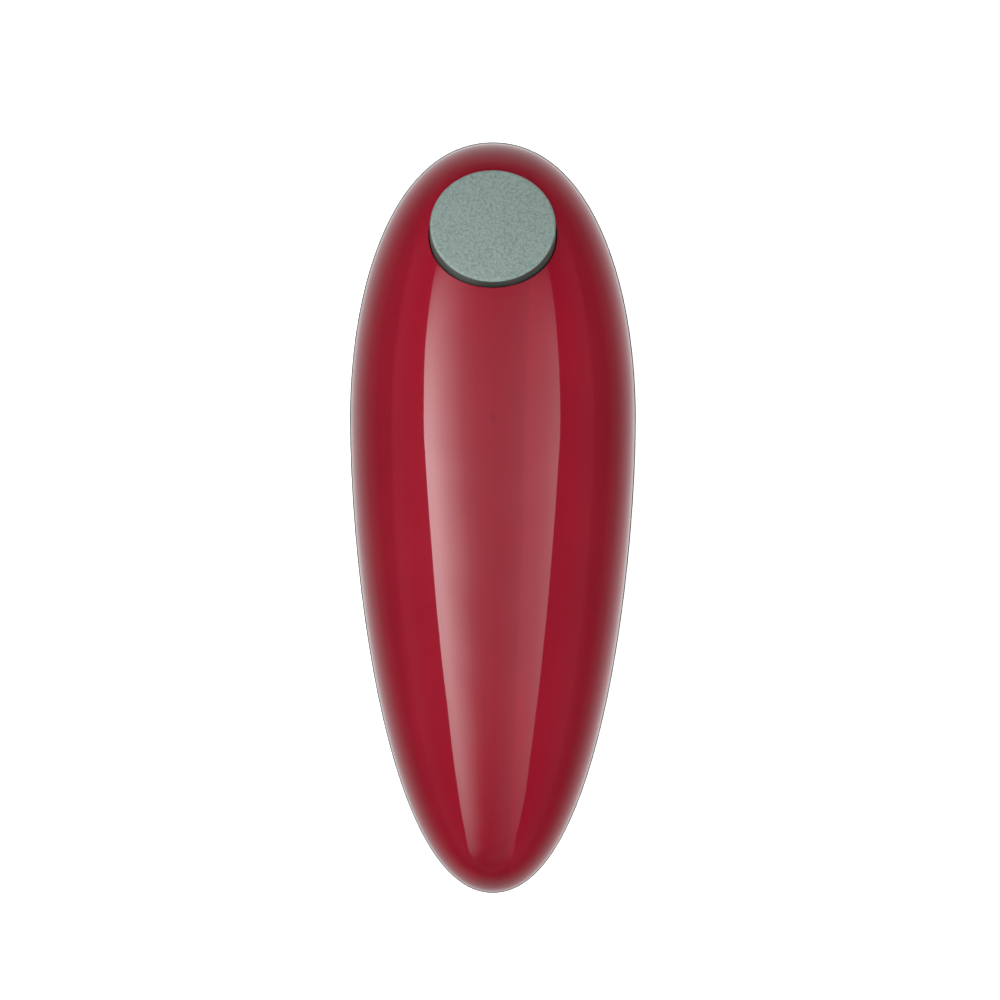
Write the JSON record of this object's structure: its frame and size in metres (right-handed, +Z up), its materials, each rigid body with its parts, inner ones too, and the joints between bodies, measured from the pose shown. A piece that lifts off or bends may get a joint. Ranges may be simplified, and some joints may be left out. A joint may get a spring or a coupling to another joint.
{
  "type": "electric can opener",
  "caption": "Hands-free battery can opener with an egg-shaped glossy case, a round push button on the head, and a drive wheel, swinging cutter and lid magnet underneath.",
  "frame": {"origin": "middle of the case in plan, on the plane that its belly rests on", "axes": "+Z up through the button side, +Y along the case towards the wide head, +X to the right seen from above"},
  "size_m": [0.0762, 0.2, 0.06],
  "materials": {
    "case_red": "high gloss lacquered",
    "case_grey": "fine satin texture",
    "button_green": "fine leather grain",
    "black_plastic": "satin",
    "nylon": "natural nylon",
    "board_green": "solder mask",
    "plate_steel": "zinc plated, brushed",
    "hard_steel": "hardened and polished",
    "brass": "turned",
    "magnet_nickel": "nickel plated",
    "cell_wrap": "printed sleeve"
  },
  "bodies": {
    "case": {"top_shell": "case_red", "lower_housing": "case_grey", "housing_screws": "plate_steel", "switch_bracket": "black_plastic", "switch_board": "board_green", "switch_body": "black_plastic", "base_plate": "plate_steel", "top_plate": "plate_steel", "motor_plate": "plate_steel", "gearbox_posts": "plate_steel", "motor_posts": "plate_steel", "gearbox_screws": "plate_steel", "first_gear_pin": "plate_steel", "second_gear_pin": "plate_steel", "third_gear_pin": "plate_steel", "motor_can": "plate_steel", "motor_end_cap": "black_plastic", "spindle_bush": "brass", "spindle_bridge": "plate_steel", "turret_keeper": "plate_steel", "cell_left_lower": "cell_wrap", "cell_left_upper": "cell_wrap", "cell_right_lower": "cell_wrap", "cell_right_upper": "cell_wrap", "contact_springs": "plate_steel", "contact_plates": "plate_steel", "magnet_spring": "plate_steel", "button_spring": "plate_steel"},
    "button": {"button_cap": "button_green"},
    "plunger": {"switch_plunger": "nylon"},
    "rotor": {"motor_shaft": "plate_steel", "motor_pinion": "brass"},
    "first_stage": {"first_gear": "nylon"},
    "second_stage": {"second_gear": "nylon"},
    "third_stage": {"third_gear": "nylon"},
    "drive": {"drive_gear": "plate_steel", "drive_spindle": "hard_steel", "drive_wheel": "hard_steel", "drive_wheel_screw": "hard_steel"},
    "clutch": {"clutch_gear": "plate_steel"},
    "turret": {"cutter_turret": "black_plastic", "cutter_pin": "hard_steel", "turret_clip": "plate_steel", "clutch_spring": "plate_steel"},
    "cutter": {"cutter_wheel": "hard_steel"},
    "magnet": {"lid_magnet": "magnet_nickel", "magnet_float": "case_grey"},
    "door": {"battery_door": "case_grey"}
  },
  "joints": [
    {"name": "button_press", "type": "slide", "parent": "case", "child": "button", "axis": [0, -0.4384, -0.8988], "range_m": [0, 0.002], "stiffness_N_per_m": 800, "deforming": ["button_spring"]},
    {"name": "switch_press", "type": "slide", "parent": "case", "child": "plunger", "axis": [0, -0.4384, -0.8988], "range_m": [0, 0.002]},
    {"name": "drive_spin", "type": "hinge", "parent": "case", "child": "drive", "pos_m": [0, 0.062, 0.02], "axis": [0, 0, 1], "continuous": true},
    {"name": "third_gear_spin", "type": "hinge", "parent": "case", "child": "third_stage", "pos_m": [0.01791, 0.04602, 0.02], "axis": [0, 0, 1], "continuous": true},
    {"name": "second_gear_spin", "type": "hinge", "parent": "case", "child": "second_stage", "pos_m": [0.0166, 0.03108, 0.02], "axis": [0, 0, 1], "continuous": true},
    {"name": "first_gear_spin", "type": "hinge", "parent": "case", "child": "first_stage", "pos_m": [0.00664, 0.01921, 0.035], "axis": [0, 0, 1], "continuous": true},
    {"name": "motor_spin", "type": "hinge", "parent": "case", "child": "rotor", "pos_m": [0, 0.0052, 0.03], "axis": [0, 0, 1], "continuous": true},
    {"name": "clutch_spin", "type": "hinge", "parent": "case", "child": "clutch", "pos_m": [0, 0.0391, 0.024], "axis": [0, 0, 1], "continuous": true},
    {"name": "cutter_swing", "type": "hinge", "parent": "case", "child": "turret", "pos_m": [0, 0.0391, 0.015], "axis": [0, 0, -1], "range_deg": [0, 90]},
    {"name": "cutter_spin", "type": "hinge", "parent": "turret", "child": "cutter", "pos_m": [-0.007, 0.0391, 0.009], "axis": [0, 0, 1], "continuous": true},
    {"name": "magnet_float", "type": "slide", "parent": "case", "child": "magnet", "axis": [0, 0, 1], "range_m": [0, 0.0025], "stiffness_N_per_m": 200, "deforming": ["magnet_spring"]},
    {"name": "battery_door", "type": "hinge", "parent": "case", "child": "door", "pos_m": [0, -0.0109, 0.0012], "axis": [1, 0, 0], "range_deg": [0, 90]}
  ],
  "couplings": [
    {"joint": "switch_press", "follows": "button_press", "ratio": 1},
    {"joint": "motor_spin", "follows": "first_gear_spin", "ratio": -4.1667},
    {"joint": "second_gear_spin", "follows": "first_gear_spin", "ratio": -0.24},
    {"joint": "third_gear_spin", "follows": "first_gear_spin", "ratio": 0.06},
    {"joint": "drive_spin", "follows": "first_gear_spin", "ratio": -0.015},
    {"joint": "clutch_spin", "follows": "first_gear_spin", "ratio": -0.02}
  ]
}
